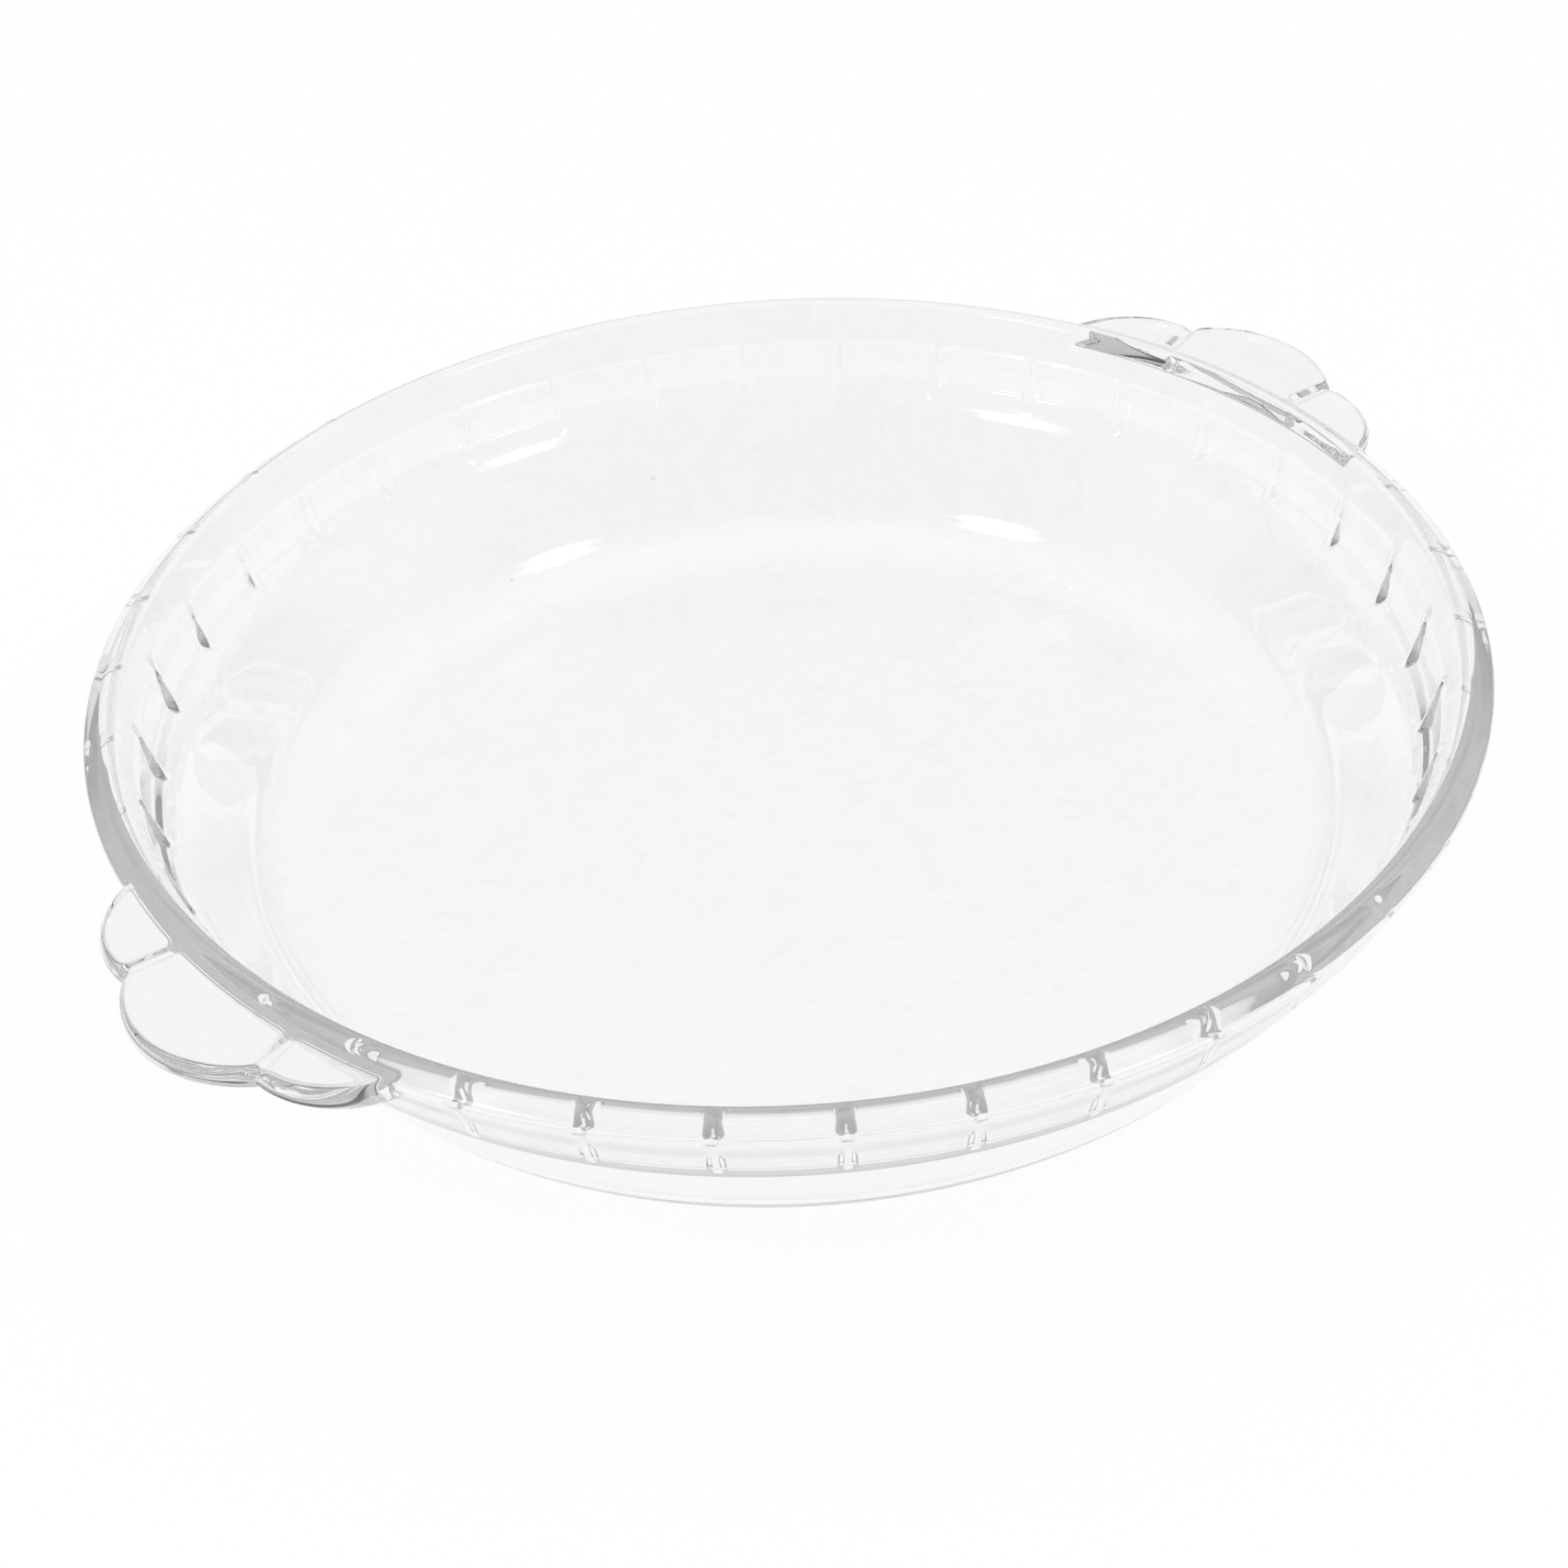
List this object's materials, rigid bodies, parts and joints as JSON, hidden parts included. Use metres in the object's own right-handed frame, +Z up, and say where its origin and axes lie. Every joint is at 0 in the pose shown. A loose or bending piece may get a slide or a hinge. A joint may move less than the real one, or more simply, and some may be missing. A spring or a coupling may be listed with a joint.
{
  "type": "glass baking dish",
  "caption": "Round clear pressed-glass baking dish with a sloping stepped wall, a ring of small crimping ribs inside the rim and two lobed tab handles.",
  "frame": {"origin": "centre of the dish on the surface that it stands on", "axes": "+Z up along the dish's axis, +X through one tab handle and -X through the other"},
  "size_m": [0.2716, 0.24, 0.044],
  "materials": {
    "clear_glass": "clear, smooth, fire-polished"
  },
  "bodies": {
    "root": {"glass_dish": "clear_glass"}
  },
  "joints": []
}
